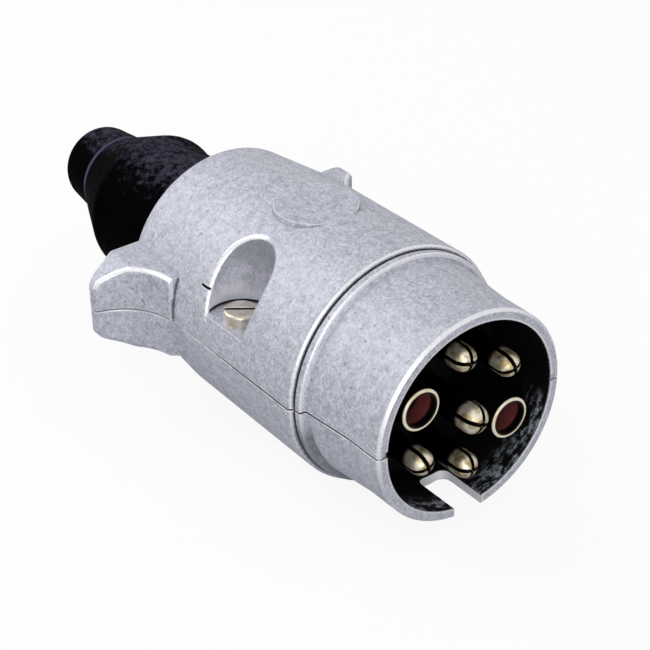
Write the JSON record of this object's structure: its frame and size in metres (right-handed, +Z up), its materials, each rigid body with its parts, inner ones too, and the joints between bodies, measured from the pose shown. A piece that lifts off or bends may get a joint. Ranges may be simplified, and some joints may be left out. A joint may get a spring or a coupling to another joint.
{
  "type": "trailer wiring connector",
  "caption": "Round metal trailer plug with contacts in a keyed mouth, split finger-grip shells held by screws, and a black rubber cable boot.",
  "frame": {"origin": "centre of the mouth's rim, on the axis of the centre contact", "axes": "+X along the plug's axis out of the mouth, +Y sideways to one finger ear, +Z up with the keyway at the bottom; the shells part at z = 0"},
  "size_m": [0.136, 0.0658, 0.0492],
  "materials": {
    "cast_aluminium": "as-cast, satin",
    "brass": "turned, bright",
    "plated_brass": "plated",
    "plated_steel": "plated, pale yellow",
    "black_insulator": "moulded, matt",
    "black_rubber": "moulded rubber, soft sheen"
  },
  "bodies": {
    "housing": {"upper_shell": "cast_aluminium", "lower_shell": "cast_aluminium", "contact_carrier": "black_insulator", "contact_retainer": "black_insulator", "cable_clamp": "plated_steel", "cable_boot": "black_rubber", "contact_pin_top": "brass", "contact_pin_upper_right": "brass", "contact_socket_lower_right": "brass", "contact_pin_bottom": "brass", "contact_pin_lower_left": "brass", "contact_socket_upper_left": "brass", "contact_pin_centre": "brass"},
    "shell_screw_upper_body": {"shell_screw_upper": "plated_steel"},
    "shell_screw_lower_body": {"shell_screw_lower": "plated_steel"},
    "clamp_screw_left_body": {"clamp_screw_left": "plated_steel"},
    "clamp_screw_right_body": {"clamp_screw_right": "plated_steel"},
    "terminal_screw_top_body": {"terminal_screw_top": "plated_brass"},
    "terminal_screw_upper_right_body": {"terminal_screw_upper_right": "plated_brass"},
    "terminal_screw_lower_right_body": {"terminal_screw_lower_right": "plated_brass"},
    "terminal_screw_bottom_body": {"terminal_screw_bottom": "plated_brass"},
    "terminal_screw_lower_left_body": {"terminal_screw_lower_left": "plated_brass"},
    "terminal_screw_upper_left_body": {"terminal_screw_upper_left": "plated_brass"},
    "terminal_screw_centre_body": {"terminal_screw_centre": "plated_brass"}
  },
  "joints": [
    {"name": "shell_screw_upper_turn", "type": "hinge", "parent": "housing", "child": "shell_screw_upper_body", "pos_m": [-0.0446, -0.0191, 0.0063], "axis": [0, 0, 1], "continuous": true},
    {"name": "shell_screw_lower_turn", "type": "hinge", "parent": "housing", "child": "shell_screw_lower_body", "pos_m": [-0.0446, 0.0191, -0.0063], "axis": [0, 0, -1], "continuous": true},
    {"name": "clamp_screw_left_turn", "type": "hinge", "parent": "housing", "child": "clamp_screw_left_body", "pos_m": [-0.0665, -0.0095, 0.001], "axis": [0, 0, 1], "continuous": true},
    {"name": "clamp_screw_right_turn", "type": "hinge", "parent": "housing", "child": "clamp_screw_right_body", "pos_m": [-0.0665, 0.0095, 0.001], "axis": [0, 0, 1], "continuous": true},
    {"name": "terminal_screw_top_turn", "type": "hinge", "parent": "housing", "child": "terminal_screw_top_body", "pos_m": [-0.0325, -0.00082, 0.01558], "axis": [0, -0.0523, 0.9986], "continuous": true},
    {"name": "terminal_screw_upper_right_turn", "type": "hinge", "parent": "housing", "child": "terminal_screw_upper_right_body", "pos_m": [-0.0325, 0.01308, 0.0085], "axis": [0, 0.8387, 0.5446], "continuous": true},
    {"name": "terminal_screw_lower_right_turn", "type": "hinge", "parent": "housing", "child": "terminal_screw_lower_right_body", "pos_m": [-0.0325, 0.0139, -0.00708], "axis": [0, 0.891, -0.454], "continuous": true},
    {"name": "terminal_screw_bottom_turn", "type": "hinge", "parent": "housing", "child": "terminal_screw_bottom_body", "pos_m": [-0.0325, 0.00082, -0.01558], "axis": [0, 0.0523, -0.9986], "continuous": true},
    {"name": "terminal_screw_lower_left_turn", "type": "hinge", "parent": "housing", "child": "terminal_screw_lower_left_body", "pos_m": [-0.0325, -0.01308, -0.0085], "axis": [0, -0.8387, -0.5446], "continuous": true},
    {"name": "terminal_screw_upper_left_turn", "type": "hinge", "parent": "housing", "child": "terminal_screw_upper_left_body", "pos_m": [-0.0325, -0.0139, 0.00708], "axis": [0, -0.891, 0.454], "continuous": true},
    {"name": "terminal_screw_centre_turn", "type": "hinge", "parent": "housing", "child": "terminal_screw_centre_body", "pos_m": [-0.04, -0.00019, 0.0036], "axis": [0, -0.0523, 0.9986], "continuous": true}
  ]
}
